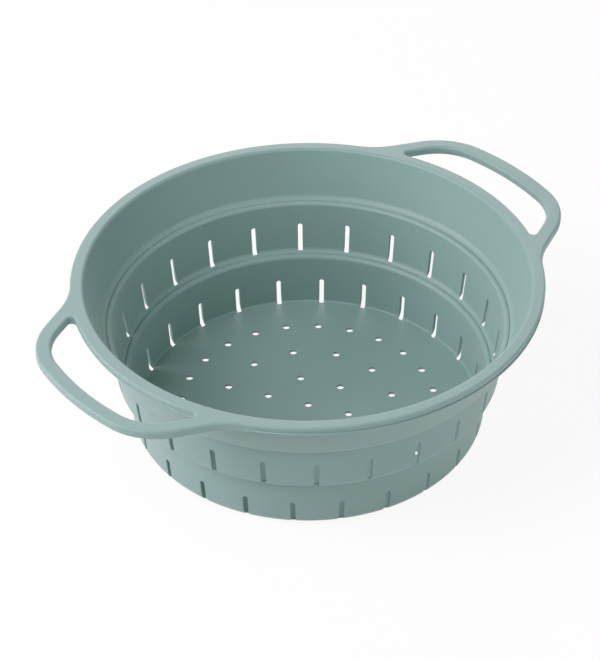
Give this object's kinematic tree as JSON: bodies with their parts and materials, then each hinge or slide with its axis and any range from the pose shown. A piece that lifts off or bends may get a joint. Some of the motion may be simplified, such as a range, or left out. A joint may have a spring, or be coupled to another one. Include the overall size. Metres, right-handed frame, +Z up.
{
  "type": "collapsible colander",
  "caption": "Round colander in three nesting tiers that slide down into each other, with slotted walls, a perforated floor and two loop handles.",
  "frame": {"origin": "centre of the flat underside of the base cup, on the surface that the colander stands on", "axes": "+Z up through the bowl; the two loop handles lie along +X and -X; tier walls are turned about Z"},
  "size_m": [0.307, 0.25, 0.0912],
  "materials": {
    "rim_and_handles": "satin sage green moulding",
    "upper_tier": "fine matt sage green moulding",
    "middle_tier": "fine matt sage green moulding",
    "base_tier": "fine matt sage green moulding"
  },
  "bodies": {
    "base": {"base_cup": "base_tier"},
    "middle": {"middle_ring": "middle_tier"},
    "upper": {"upper_ring": "upper_tier", "handle_rim": "rim_and_handles"}
  },
  "joints": [
    {"name": "middle_ring_slide", "type": "slide", "parent": "base", "child": "middle", "axis": [0, 0, -1], "range_m": [0, 0.0275]},
    {"name": "upper_ring_slide", "type": "slide", "parent": "middle", "child": "upper", "axis": [0, 0, -1], "range_m": [0, 0.028]}
  ]
}
